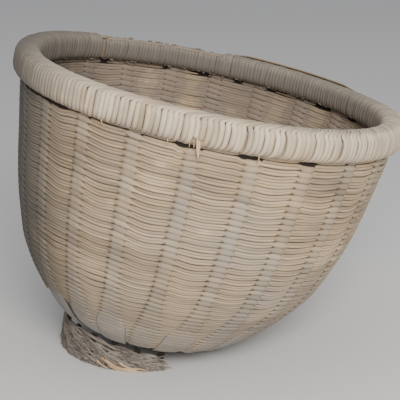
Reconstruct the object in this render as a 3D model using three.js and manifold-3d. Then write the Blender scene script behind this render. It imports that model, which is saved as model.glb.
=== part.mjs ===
// Old winnowing basket: a deep, round-bottomed bamboo basket, twined over 22
// stakes, with a thick wrapped rim and the last piece of a foot ring.
// Millimetres, +Z up. The basket is built on its own axis first (rim top at
// height 0, wall below it) and is then leaned over onto the floor, because only
// one side of its foot ring is left. The floor it stands on is z = 0.

import * as THREE from 'three';
import { mergeVertices } from 'three/addons/utils/BufferGeometryUtils.js';
import Module from 'manifold-3d';

const wasm = await Module();
wasm.setup();

// ---------------------------------------------------------------- dimensions
const MOUTH_R = 200;            // outside radius of the rim
const RIM_H = 29;               // height of the wrapped rim
const RIM_W = 25.8;             // radial width of the wrapped rim
const WRAP_T = 1.8;             // thickness of the wrapping strip
const WORN_DROP = 5.2;          // how much lower the worn stretch of rim is

const STAKES = 22;              // upright stakes round the wall
const STAKE_PHI = 268.8;        // degrees, direction of the front stake
const STAKE_W = 13.5;           // width of a stake in the wall
const BASE_W = 17.6;            // width of the same splint under the base
const STAKE_T = 1.5;            // thickness of a splint
const WALL = 6.2;               // thickness of the twined wall
const GAP = 0.3;                // clearance between touching pieces

// Middle of the wall, radius and height, from the rim down to the flat base.
const WALL_MID = [
  [187.8, -9], [187.9, -36], [182.4, -76], [175.9, -118],
  [166.4, -158], [150.4, -200], [118.5, -244.5],
  [95.5, -265.5], [74.5, -277],
];
const BASE_Z = -277;            // middle of the crossed splints of the base
const PITCH = 18.4;             // spacing of the splints across the base

// The body sags sideways towards the bottom: shift of the axis at full depth.
const SAG = { x: -21.6, y: 9.3, top: 23.2, depth: 284, power: 2.5 };

// How the basket leans on the floor.
const UP = new THREE.Vector3(-0.1997, -0.0420, 0.9790);    // floor's up, seen in the basket
const RIGHT = new THREE.Vector3(0.9784, 0.0464, 0.2016);   // floor's +X, seen in the basket

// Foot ring: what is left of it, round the middle of the base.
const FOOT_R = 90, FOOT_T = 5, FOOT_TAPER = 3, FOOT_BOTTOM = -330;
const FOOT_STAKE_W = 8, FOOT_STAKE_T = 1.4;

const FACETS = STAKES * 2;      // one facet on a stake, one between
const FACET = 360 / FACETS;
const FACET0 = STAKE_PHI + FACET / 2;       // a corner between two facets
const RF = 1 / Math.cos(THREE.MathUtils.degToRad(FACET / 2));
const rad = THREE.MathUtils.degToRad;

// ------------------------------------------------------------------- helpers
const sag = (z) => {
  const k = Math.pow(Math.max(0, -z - SAG.top) / SAG.depth, SAG.power);
  return [SAG.x * k, SAG.y * k];
};
const SAG_NODES = WALL_MID.map(([, z]) => [z, ...sag(z)]);
function sagAt(z) {
  const n = SAG_NODES;
  if (z >= n[0][0]) return [n[0][1], n[0][2]];
  for (let i = 1; i < n.length; i++) {
    if (z >= n[i][0]) {
      const t = (n[i - 1][0] - z) / (n[i - 1][0] - n[i][0]);
      return [n[i - 1][1] + t * (n[i][1] - n[i - 1][1]), n[i - 1][2] + t * (n[i][2] - n[i - 1][2])];
    }
  }
  return [n[n.length - 1][1], n[n.length - 1][2]];
}
const BASE_C = sagAt(BASE_Z);

// Moves every vertex of a geometry through a function of its position.
function mapped(geometry, fn) {
  const p = geometry.attributes.position, v = new THREE.Vector3();
  for (let i = 0; i < p.count; i++) {
    v.fromBufferAttribute(p, i);
    const q = fn(v);
    p.setXYZ(i, q.x, q.y, q.z);
  }
  return geometry;
}
const bare = (g) => {
  const out = new THREE.BufferGeometry();
  out.setAttribute('position', g.attributes.position.clone());
  if (g.index) out.setIndex(g.index.clone());
  return mergeVertices(out, 1e-3);
};
function faceOut(g) {
  const p = g.attributes.position, ix = g.index.array;
  const a = new THREE.Vector3(), b = new THREE.Vector3(), c = new THREE.Vector3();
  let vol = 0;
  for (let i = 0; i < ix.length; i += 3) {
    a.fromBufferAttribute(p, ix[i]); b.fromBufferAttribute(p, ix[i + 1]); c.fromBufferAttribute(p, ix[i + 2]);
    vol += a.dot(b.cross(c));
  }
  if (vol < 0) for (let i = 0; i < ix.length; i += 3) { const t = ix[i]; ix[i] = ix[i + 1]; ix[i + 1] = t; }
  return g;
}
const toSolid = (g) => new wasm.Manifold(new wasm.Mesh({
  numProp: 3,
  vertProperties: Float32Array.from(g.attributes.position.array),
  triVerts: Uint32Array.from(g.index.array),
}));
function fromSolid(s) {
  const m = s.getMesh();
  const g = new THREE.BufferGeometry();
  const n = m.vertProperties.length / m.numProp, pos = new Float32Array(n * 3);
  for (let i = 0; i < n; i++) for (let k = 0; k < 3; k++) pos[3 * i + k] = m.vertProperties[i * m.numProp + k];
  g.setAttribute('position', new THREE.BufferAttribute(pos, 3));
  g.setIndex(new THREE.BufferAttribute(Uint32Array.from(m.triVerts), 1));
  return g;
}
function cut(body, ...tools) {
  let s = toSolid(body);
  for (const t of tools) s = s.subtract(toSolid(t));
  return fromSolid(s);
}

// A closed ring turned round the axis; profile is a list of [radius, height].
function ring(profile) {
  const pts = [...profile, profile[0]].map(([r, z]) => new THREE.Vector2(r * RF, z));
  const g = new THREE.LatheGeometry(pts, FACETS, rad(FACET0), Math.PI * 2);
  return faceOut(bare(mapped(g, (v) => ({ x: v.z, y: v.x, z: v.y }))));
}
// The same profile swept over some facets only, from corner a to corner b.
function arc(profile, a, b, inset = 0.05) {
  const steps = Math.round(b - a);
  const shape = new THREE.Shape(profile.map(([r, z]) => new THREE.Vector2(r * RF, z)));
  const g = new THREE.ExtrudeGeometry(shape, { depth: 1, steps, bevelEnabled: false });
  return faceOut(bare(mapped(g, (v) => {
    const k = Math.round(v.z * steps);
    const phi = rad(FACET0 + FACET * (a + k) + (k === 0 ? inset : k === steps ? -inset : 0));
    return { x: v.x * Math.cos(phi), y: v.x * Math.sin(phi), z: v.y };
  })));
}
// A flat strip bent along stations {p, side, n, w}: middle point, direction
// across, direction of the thickness, width there.
function strip(stations, t) {
  const steps = stations.length - 1;
  const g = new THREE.BoxGeometry(1, 1, 1, 1, 1, steps);
  return faceOut(bare(mapped(g, (v) => {
    const s = stations[Math.round((v.z + 0.5) * steps)];
    return s.p.clone().addScaledVector(s.side, v.x * s.w).addScaledVector(s.n, v.y * t);
  })));
}
const sagged = (g) => mapped(g, (v) => { const [x, y] = sagAt(v.z); return { x: v.x + x, y: v.y + y, z: v.z }; });
const onBase = (g) => mapped(g, (v) => ({ x: v.x + BASE_C[0], y: v.y + BASE_C[1], z: v.z }));

// Leaning: from the basket's own axes to the floor's.
const YF = new THREE.Vector3().crossVectors(UP, RIGHT).normalize();
const XF = new THREE.Vector3().crossVectors(YF, UP).normalize();
const ZF = UP.clone().normalize();
const lean = (v) => ({ x: XF.dot(v), y: YF.dot(v), z: ZF.dot(v) });

// ----------------------------------------------------------------- materials
const mat = (color, roughness) => new THREE.MeshStandardMaterial({ color, roughness, metalness: 0 });
const WEAVE = mat(0xa69a86, 0.82), SPLINT = mat(0x8f8a80, 0.78), WRAP = mat(0xb3a48b, 0.7);
const HOOP = mat(0xa48c6c, 0.65), CANE = mat(0xb59d72, 0.55), FOOT = mat(0x8c8272, 0.88), TORN = mat(0xb98f5e, 0.75);

const pieces = [];
const add = (name, geometry, material) => pieces.push([name, geometry, material]);

// ------------------------------------------------- weave bands and the stakes
// Directions along the wall, used for mitred corners between the bands.
const dir = (a, b) => new THREE.Vector2(b[0] - a[0], b[1] - a[1]).normalize();
const outN = (d) => new THREE.Vector2(-d.y, d.x);          // outwards from the wall
const segs = WALL_MID.slice(1).map((b, i) => dir(WALL_MID[i], b));
function mitre(i) {
  // offset vector at node i that keeps both neighbouring slabs at unit thickness
  const n0 = outN(segs[Math.max(0, i - 1)]), n1 = outN(segs[Math.min(segs.length - 1, i)]);
  const m = n0.clone().add(n1).normalize();
  return m.multiplyScalar(1 / m.dot(n0));
}
const at = (i, off, slide) => {
  const m = mitre(i), d = segs[Math.min(segs.length - 1, Math.max(0, slide > 0 ? i : i - 1))];
  return [WALL_MID[i][0] + m.x * off + d.x * slide, WALL_MID[i][1] + m.y * off + d.y * slide];
};

function tunnel(k, phi) {
  // slot for one stake through band k
  const d = segs[k - 1], n = outN(d), [r0, z0] = WALL_MID[k - 1], [r1, z1] = WALL_MID[k];
  const side = new THREE.Vector3(-Math.sin(phi), Math.cos(phi), 0);
  const rd = new THREE.Vector3(Math.cos(phi), Math.sin(phi), 0);
  const P = (r, z) => rd.clone().multiplyScalar(r).setZ(z);
  const N = rd.clone().multiplyScalar(n.x).setZ(n.y);
  const w0 = stakeWidth(k - 1) + 2 * GAP, w1 = stakeWidth(k) + 2 * GAP, e = 1.2;
  return strip([
    { p: P(r0 - d.x * e, z0 - d.y * e), side, n: N, w: w0 - (w1 - w0) * 0.04 },
    { p: P(r1 + d.x * e, z1 + d.y * e), side, n: N, w: w1 + (w1 - w0) * 0.04 },
  ], STAKE_T + 2 * GAP);
}
function stakeWidth(k) {
  // wide under the base, narrower in the wall
  const [r] = WALL_MID[k];
  return r > 140 ? STAKE_W : STAKE_W + (BASE_W - STAKE_W) * Math.min(1, (140 - r) / 60);
}

for (let k = 1; k < WALL_MID.length; k++) {
  const h = WALL / 2, s = GAP / 2, e = k === WALL_MID.length - 1 ? 2.2 : s;
  let g = ring([at(k - 1, h, s), at(k, h, -e), at(k, -h, -e), at(k - 1, -h, s)]);
  const slots = [];
  for (let j = 0; j < STAKES; j++) slots.push(tunnel(k, rad(STAKE_PHI + j * 360 / STAKES)));
  g = cut(g, ...slots);
  add(`weave_band_${String(k).padStart(2, '0')}`, sagged(g), WEAVE);
}

// Base splints. Six run left to right and five run front to back; they cross
// under the base and both ends turn up through the wall as stakes.
function splint(phiA, phiB, along, offset, level) {
  const end = (phi) => {
    const side = new THREE.Vector3(-Math.sin(phi), Math.cos(phi), 0);
    const rd = new THREE.Vector3(Math.cos(phi), Math.sin(phi), 0);
    return WALL_MID.map(([r, z], i) => {
      const m = mitre(i);
      return { p: rd.clone().multiplyScalar(r).setZ(i === 0 ? z + 1 : z), side: side.clone(),
        n: rd.clone().multiplyScalar(m.x).setZ(m.y), w: stakeWidth(i) };
    });
  };
  const A = end(phiA), B = end(phiB).reverse();
  for (const s of B) s.side.negate();
  const last = A[A.length - 1];
  last.n.set(0, 0, -1); B[0].n.set(0, 0, -1);
  const mid = [];
  // inside the crossing, the two sets lie on two levels
  const reach = along === 'x' ? 46.5 : 56;
  const across = along === 'x' ? new THREE.Vector3(0, 1, 0) : new THREE.Vector3(-1, 0, 0);
  for (const u of [reach, 18, -18, -reach]) {
    const p = along === 'x' ? new THREE.Vector3(u, offset, BASE_Z + level) : new THREE.Vector3(offset, u, BASE_Z + level);
    mid.push({ p, side: across.clone(), n: new THREE.Vector3(0, 0, -1), w: BASE_W });
  }
  return strip([...A, ...mid, ...B], STAKE_T);
}
const STEP = 360 / STAKES, LEVEL = 1.1;
for (let i = 0; i < 6; i++) {
  // ends at the right (index 2.5 - i either side of the +X direction) and at the left
  const q = i - 2.5;
  const phiR = STAKE_PHI + 90 + q * STEP, phiL = STAKE_PHI - 90 - q * STEP;
  add(`base_splint_across_${i + 1}`, sagged(splint(rad(phiR), rad(phiL), 'x', q * PITCH, -LEVEL)), SPLINT);
}
for (let i = 0; i < 5; i++) {
  const q = i - 2;
  const phiF = STAKE_PHI + q * STEP, phiB = STAKE_PHI + 180 - q * STEP;
  add(`base_splint_lengthways_${i + 1}`, sagged(splint(rad(phiB), rad(phiF), 'y', q * PITCH, LEVEL)), SPLINT);
}

// ----------------------------------------------------------------------- rim
const R_IN = MOUTH_R - RIM_W;                     // 174.2
const wallOut = 187.8 + WALL / 2 + 0.4, wallIn = 187.8 - WALL / 2 - 0.4;
const HOOP_TOP = -WRAP_T - 4.9, HOOP_BOTTOM = -RIM_H + WRAP_T + GAP;
const ro = MOUTH_R - WRAP_T - GAP, ri = R_IN + WRAP_T + GAP;
add('outer_rim_hoop', ring([[wallOut, HOOP_TOP], [ro - 1.4, HOOP_TOP], [ro, HOOP_TOP - 1.8], [ro, HOOP_BOTTOM + 3.8], [ro - 3, HOOP_BOTTOM], [wallOut, HOOP_BOTTOM]]), HOOP);
add('inner_rim_hoop', ring([[ri + 1.4, HOOP_TOP], [wallIn, HOOP_TOP], [wallIn, HOOP_BOTTOM], [ri + 3, HOOP_BOTTOM], [ri, HOOP_BOTTOM + 3.8], [ri, HOOP_TOP - 1.8]]), HOOP);
// filler cane on top of the hoops, broken away along the worn stretch
const c0 = -WRAP_T - GAP, c1 = HOOP_TOP + GAP;
add('rim_filler_cane', arc([[179.5, c1], [194.5, c1], [194.5, c1 + 2.6], [191.5, c0], [182.5, c0], [179.5, c1 + 2.6]], -17, 21, 0.4), CANE);

const lipIn = wallIn - 0.1, lipOut = wallOut + 0.1;
function wrapProfile(top, t) {
  const R = MOUTH_R, b = -RIM_H, i = R_IN;
  return [
    [lipOut, b], [R - 4, b], [R, b + 5], [R, top - 7], [R - 5, top], [i + 5, top], [i, top - 7], [i, b + 5], [i + 4, b], [lipIn, b],
    [lipIn, b + t], [i + 4.5, b + t], [i + t, b + 5.3], [i + t, top - 7.4], [i + 5.6, top - t], [R - 5.6, top - t], [R - t, top - 7.4], [R - t, b + 5.3], [R - 4.5, b + t], [lipOut, b + t],
  ];
}
add('rim_wrap_front', arc(wrapProfile(0, WRAP_T), 0, 11), WRAP);
add('rim_wrap_right', arc(wrapProfile(0, WRAP_T), 11, 21), WRAP);
add('rim_wrap_left', arc(wrapProfile(0, WRAP_T), 27, 44), WRAP);
// worn stretch: only the two sides of the wrapping are left, below bare hoops
const wornTop = HOOP_TOP;
add('rim_wrap_worn_outside', arc([[lipOut, -RIM_H], [MOUTH_R - 4, -RIM_H], [MOUTH_R, -RIM_H + 5], [MOUTH_R, wornTop], [MOUTH_R - WRAP_T, wornTop], [MOUTH_R - WRAP_T, -RIM_H + 5.3], [MOUTH_R - 4.5, -RIM_H + WRAP_T], [lipOut, -RIM_H + WRAP_T]], 21, 27), WRAP);
add('rim_wrap_worn_inside', arc([[lipIn, -RIM_H], [R_IN + 4, -RIM_H], [R_IN, -RIM_H + 5], [R_IN, wornTop], [R_IN + WRAP_T, wornTop], [R_IN + WRAP_T, -RIM_H + 5.3], [R_IN + 4.5, -RIM_H + WRAP_T], [lipIn, -RIM_H + WRAP_T]], 21, 27), WRAP);

// broken end of wrapping that hangs below the front of the rim
{
  const phi = rad(268.2), rd = new THREE.Vector3(Math.cos(phi), Math.sin(phi), 0), side = new THREE.Vector3(-Math.sin(phi), Math.cos(phi), 0);
  const st = (r, z, w, s) => ({ p: rd.clone().multiplyScalar(r).addScaledVector(side, s).setZ(z), side, n: rd, w });
  add('broken_wrapping_end', strip([st(193.6, -RIM_H - 0.4, 3, 0), st(193.2, -35, 3.2, 0.6), st(192.9, -42, 1.4, 2)], 1), TORN);
}

// ---------------------------------------------------------------------- foot
const surfZ = (r) => {          // underside of the body near the foot
  const [a, b] = WALL_MID.slice(-2), t = (a[0] - r) / (a[0] - b[0]);
  const d = segs[segs.length - 1];
  return a[1] + t * (b[1] - a[1]) - (WALL / 2) / Math.abs(d.x) - 0.5;
};
const footProfile = (ro, ri, lower = 0) => [
  [ro, surfZ(ro)], [ro - FOOT_TAPER, FOOT_BOTTOM + lower], [ri - FOOT_TAPER, FOOT_BOTTOM + lower], [ri, surfZ(ri)],
];
const FOOT_A = -13, FOOT_B = 3; // facets the remaining piece spans
const footWeave = arc(footProfile(FOOT_R, FOOT_R - FOOT_T), FOOT_A, FOOT_B, 0);
const footStakes = [], footSlots = [];
for (let j = -6; j <= 1; j++) {
  const phi = rad(STAKE_PHI + j * STEP), rm = FOOT_R - FOOT_T / 2;
  const rd = new THREE.Vector3(Math.cos(phi), Math.sin(phi), 0), side = new THREE.Vector3(-Math.sin(phi), Math.cos(phi), 0);
  const make = (w, t, top, low) => strip([
    { p: rd.clone().multiplyScalar(rm + (top - surfZ(rm)) * FOOT_TAPER / (surfZ(rm) - FOOT_BOTTOM)).setZ(top), side, n: rd, w },
    { p: rd.clone().multiplyScalar(rm - FOOT_TAPER).setZ(low), side, n: rd, w },
  ], t);
  footSlots.push(make(FOOT_STAKE_W + 2 * GAP, FOOT_STAKE_T + 2 * GAP, surfZ(rm) + 4, FOOT_BOTTOM - 4));
  footStakes.push(make(FOOT_STAKE_W, FOOT_STAKE_T, surfZ(rm) - 1, FOOT_BOTTOM - 1));
}
const footOut = (z) => FOOT_R - FOOT_TAPER * (surfZ(FOOT_R) - z) / (surfZ(FOOT_R) - FOOT_BOTTOM);
const footStrip = arc([[footOut(-284) + 0.35, -284], [footOut(-284) + 2, -284], [footOut(-328) + 2, -328], [footOut(-328) + 0.35, -328]], -4, 0, 0);

// ------------------------------------------------- stand the basket on z = 0
for (const p of pieces) p[1] = mapped(p[1], lean);
let floor = Infinity;
for (const [name, g] of pieces) {
  if (!/^(weave|base)/.test(name)) continue;
  g.computeBoundingBox();
  floor = Math.min(floor, g.boundingBox.min.z);
}
const toFloor = (g) => mapped(g, (v) => ({ x: v.x, y: v.y, z: v.z - floor }));
for (const p of pieces) p[1] = toFloor(p[1]);

// The foot is worn down to the floor: everything below z = 0 is cut away.
const below = new THREE.BoxGeometry(600, 600, 200);
below.translate(0, 0, -100);
const underFloor = bare(below);
const standing = (g) => toFloor(mapped(onBase(g), lean));
add('foot_weave', cut(standing(footWeave), ...footSlots.map(standing), underFloor), FOOT);
footStakes.forEach((g, j) => add(`foot_stake_${j + 1}`, cut(standing(g), underFloor), SPLINT));
// the strip round the bottom of the foot: only its lowest 6 mm
const upper = new THREE.BoxGeometry(600, 600, 200);
upper.translate(0, 0, 106.5);
add('foot_edge_strip', cut(standing(footStrip), underFloor, bare(upper)), TORN);

// -------------------------------------------------------------- the assembly
const basket = new THREE.Group();
const bounds = new THREE.Box3();
for (const [name, geometry, material] of pieces) {
  geometry.computeVertexNormals();
  const mesh = new THREE.Mesh(geometry, material);
  mesh.name = name;
  basket.add(mesh);
  geometry.computeBoundingBox();
  bounds.union(geometry.boundingBox);
}
const group = new THREE.Group();
const centre = bounds.getCenter(new THREE.Vector3());
basket.position.set(-centre.x, -centre.y, 0);     // origin: middle of the footprint
group.add(basket);
export default group;
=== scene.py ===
import math
import bpy
import numpy as np
from mathutils import Matrix, Vector

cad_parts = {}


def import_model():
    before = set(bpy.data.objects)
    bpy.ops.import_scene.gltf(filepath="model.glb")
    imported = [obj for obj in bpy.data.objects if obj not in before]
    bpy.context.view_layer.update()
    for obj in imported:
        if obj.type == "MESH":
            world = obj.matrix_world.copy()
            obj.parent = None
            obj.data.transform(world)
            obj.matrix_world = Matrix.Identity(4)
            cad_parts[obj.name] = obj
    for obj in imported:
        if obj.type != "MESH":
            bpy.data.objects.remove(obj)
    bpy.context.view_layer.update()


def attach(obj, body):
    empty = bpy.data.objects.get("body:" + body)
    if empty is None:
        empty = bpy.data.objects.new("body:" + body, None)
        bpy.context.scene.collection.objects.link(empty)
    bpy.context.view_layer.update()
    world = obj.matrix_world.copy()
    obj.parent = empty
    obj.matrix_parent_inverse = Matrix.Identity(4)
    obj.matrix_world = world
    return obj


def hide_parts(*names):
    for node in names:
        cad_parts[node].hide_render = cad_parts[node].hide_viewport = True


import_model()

rng = np.random.default_rng(7)

# ------------------------------------------------------------------ the basket
# Same construction numbers as the CAD (mm, on the basket's own axis).
MOUTH_R, RIM_H, RIM_W = 200.0, 29.0, 25.8
STAKES, STAKE_PHI = 22, 268.8
STAKE_W, BASE_W, STAKE_T = 12.6, 17.6, 1.5
WALL_MID = np.array([
    (187.8, -9), (187.9, -36), (182.4, -76), (175.9, -118),
    (166.4, -158), (150.4, -200), (118.5, -244.5), (95.5, -265.5), (74.5, -277)], float)
BASE_Z, PITCH = -277.0, 18.4
UP = np.array([-0.1997, -0.0420, 0.9790])
RIGHT = np.array([0.9784, 0.0464, 0.2016])
UP /= np.linalg.norm(UP)
YF = np.cross(UP, RIGHT); YF /= np.linalg.norm(YF)
XF = np.cross(YF, UP)
B2W = np.stack([XF, YF, UP])                 # rows: world axes seen in the basket
CENTRE = np.array([-3.3189, -0.4888, -285.7763])
SPACING = 360.0 / STAKES


def world(p):
    """Basket mm to world metres."""
    return (p @ B2W.T - CENTRE) / 1000.0


def world_dir(d):
    return d @ B2W.T


def sag(z):
    k = (np.maximum(0.0, -z - 23.2) / 284.0) ** 2.5
    return -21.6 * k, 9.3 * k


# Smooth wall line through the CAD's nodes, by arc length s (s = 0 at z = -9).
def _catmull(pts, n=60):
    P = np.vstack([2 * pts[0] - pts[1], pts, 2 * pts[-1] - pts[-2]])
    out = []
    for i in range(1, len(P) - 2):
        p0, p1, p2, p3 = P[i - 1], P[i], P[i + 1], P[i + 2]
        d1 = np.linalg.norm(p2 - p1)
        t = np.linspace(0, 1, n, endpoint=False)[:, None]
        m1 = (p2 - p0) / (np.linalg.norm(p1 - p0) + d1) * d1
        m2 = (p3 - p1) / (np.linalg.norm(p3 - p2) + d1) * d1
        h = (2 * t**3 - 3 * t**2 + 1) * p1 + (t**3 - 2 * t**2 + t) * m1 + (-2 * t**3 + 3 * t**2) * p2 + (t**3 - t**2) * m2
        out.append(h)
    out.append(P[-2][None])
    return np.vstack(out)


_line = _catmull(WALL_MID)
_ls = np.concatenate([[0], np.cumsum(np.linalg.norm(np.diff(_line, axis=0), axis=1))])
_tan = np.gradient(_line, _ls, axis=0)
_tan /= np.linalg.norm(_tan, axis=1)[:, None]
S_END = _ls[-1]
S_NODE = np.interp(-WALL_MID[:, 1], -_line[:, 1], _ls)


def wall(phi, s, off):
    """Points in basket mm: angle in degrees, arc length down the wall, distance out from its middle."""
    phi, s, off = np.broadcast_arrays(np.asarray(phi, float), np.asarray(s, float), np.asarray(off, float))
    a = np.radians(phi)
    r = np.interp(s, _ls, _line[:, 0]); z = np.interp(s, _ls, _line[:, 1])
    tr = np.interp(s, _ls, _tan[:, 0]); tz = np.interp(s, _ls, _tan[:, 1])
    sx, sy = sag(z)
    nr, nz = -tz, tr                          # outwards
    R = r + nr * off
    return np.stack([sx + R * np.cos(a), sy + R * np.sin(a), z + nz * off], -1)


def wall_axes(phi, s):
    a = np.radians(phi)
    tr = np.interp(s, _ls, _tan[:, 0]); tz = np.interp(s, _ls, _tan[:, 1])
    ca, sa = np.cos(a), np.sin(a)
    N = np.stack([-tz * ca, -tz * sa, tr], -1)
    D = np.stack([tr * ca, tr * sa, tz], -1)
    T = np.stack([-sa, ca, 0 * a], -1)
    return N, D, T


def smooth(x, a, b):
    t = np.clip((x - a) / (b - a), 0, 1)
    return t * t * (3 - 2 * t)


# ----------------------------------------------------------------- mesh helper
def loft(name, tubes, material, attrs=None, uvs=None, shade=True):
    """One mesh of closed tubes. tubes: list of (n, k, 3) rings in basket mm. attrs: list of (n, k, 4)."""
    V, F4, CAPS, A, U = [], [], [], [], []
    base = 0
    for ti, R in enumerate(tubes):
        n, k, _ = R.shape
        V.append(R.reshape(-1, 3))
        i = np.arange(n - 1)[:, None]; j = np.arange(k)[None]
        a = base + i * k + j; b = base + i * k + (j + 1) % k
        q = np.stack([a, b, b + k, a + k], -1).reshape(-1, 4)
        # outward check on this tube
        c = R.mean(1)
        e1 = R[1, 0] - R[0, 0]; e2 = R[0, 1] - R[0, 0]
        m = (R[0, 0] + R[0, 1]) / 2 - c[0]
        flip = np.dot(np.cross(e2, e1), m) < 0
        if flip:
            q = q[:, ::-1]
        F4.append(q)
        s0 = list(range(base, base + k)); s1 = list(range(base + (n - 1) * k, base + n * k))
        CAPS.append(s0[::-1] if not flip else s0)
        CAPS.append(s1 if not flip else s1[::-1])
        if attrs is not None:
            A.append(attrs[ti].reshape(-1, 4))
        if uvs is not None:
            U.append(uvs[ti].reshape(-1, 3))
        base += n * k
    V = world(np.vstack(V)); F4 = np.vstack(F4)
    V[:, 2] = np.maximum(V[:, 2], 0.0002)
    me = bpy.data.meshes.new(name)
    me.vertices.add(len(V)); me.vertices.foreach_set("co", V.astype(np.float32).ravel())
    caps = [c for c in CAPS]
    nl = F4.size + sum(len(c) for c in caps)
    loops = np.concatenate([F4.ravel()] + [np.array(c) for c in caps]).astype(np.int32)
    starts = np.concatenate([np.arange(len(F4)) * 4, F4.size + np.concatenate([[0], np.cumsum([len(c) for c in caps])[:-1]])]).astype(np.int32)
    me.loops.add(nl); me.loops.foreach_set("vertex_index", loops)
    me.polygons.add(len(starts)); me.polygons.foreach_set("loop_start", starts)
    me.update(calc_edges=True)
    me.validate()
    me.polygons.foreach_set("use_smooth", np.full(len(me.polygons), shade))
    if attrs is not None:
        at = me.attributes.new("tone", "FLOAT_COLOR", "POINT")
        at.data.foreach_set("color", np.vstack(A).astype(np.float32).ravel())
    if uvs is not None:
        at = me.attributes.new("lay", "FLOAT_VECTOR", "POINT")
        at.data.foreach_set("vector", np.vstack(U).astype(np.float32).ravel())
    ob = bpy.data.objects.new(name, me)
    bpy.context.scene.collection.objects.link(ob)
    me.materials.append(material)
    return ob


def place(ob, slot, *nodes):
    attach(ob, "root")
    if nodes:
        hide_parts(*nodes)
    return ob


# ------------------------------------------------------------------- materials
def tree(name):
    m = bpy.data.materials.new(name); m.use_nodes = True
    nt = m.node_tree
    for n in list(nt.nodes):
        nt.nodes.remove(n)
    out = nt.nodes.new("ShaderNodeOutputMaterial")
    bs = nt.nodes.new("ShaderNodeBsdfPrincipled")
    nt.links.new(bs.outputs[0], out.inputs[0])
    return m, nt, bs


def node(nt, kind, **kw):
    n = nt.nodes.new(kind)
    for k, v in kw.items():
        setattr(n, k, v)
    return n


def mixc(nt, fac, a, b, mode="MIX"):
    n = node(nt, "ShaderNodeMix", data_type="RGBA", blend_type=mode)
    n.clamp_factor = True
    for s, v in ((n.inputs[0], fac), (n.inputs[6], a), (n.inputs[7], b)):
        if hasattr(v, "links") or isinstance(v, bpy.types.NodeSocket):
            nt.links.new(v, s)
        elif isinstance(v, (tuple, list)):
            s.default_value = (*v, 1.0)[:4]
        else:
            s.default_value = v
    return n.outputs[2]


def math_(nt, op, a, b=0.0, c=None, clamp=False):
    n = node(nt, "ShaderNodeMath", operation=op, use_clamp=clamp)
    for s, v in zip(n.inputs, (a, b, c)):
        if v is None:
            continue
        if isinstance(v, bpy.types.NodeSocket):
            nt.links.new(v, s)
        else:
            s.default_value = v
    return n.outputs[0]


def ramp(nt, fac, stops):
    n = node(nt, "ShaderNodeValToRGB")
    el = n.color_ramp.elements
    while len(el) > 1:
        el.remove(el[-1])
    el[0].position = stops[0][0]; el[0].color = (*stops[0][1], 1)
    for p, c in stops[1:]:
        e = el.new(p); e.color = (*c, 1)
    nt.links.new(fac, n.inputs[0])
    return n.outputs[0]


def noise(nt, vec, scale, detail=3.0, rough=0.55, dist=0.0, stretch=None):
    if stretch is not None:
        mp = node(nt, "ShaderNodeMapping"); mp.inputs[3].default_value = stretch
        nt.links.new(vec, mp.inputs[0]); vec = mp.outputs[0]
    n = node(nt, "ShaderNodeTexNoise")
    n.inputs["Scale"].default_value = scale; n.inputs["Detail"].default_value = detail
    n.inputs["Roughness"].default_value = rough; n.inputs["Distortion"].default_value = dist
    nt.links.new(vec, n.inputs["Vector"])
    return n.outputs[0]


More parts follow.
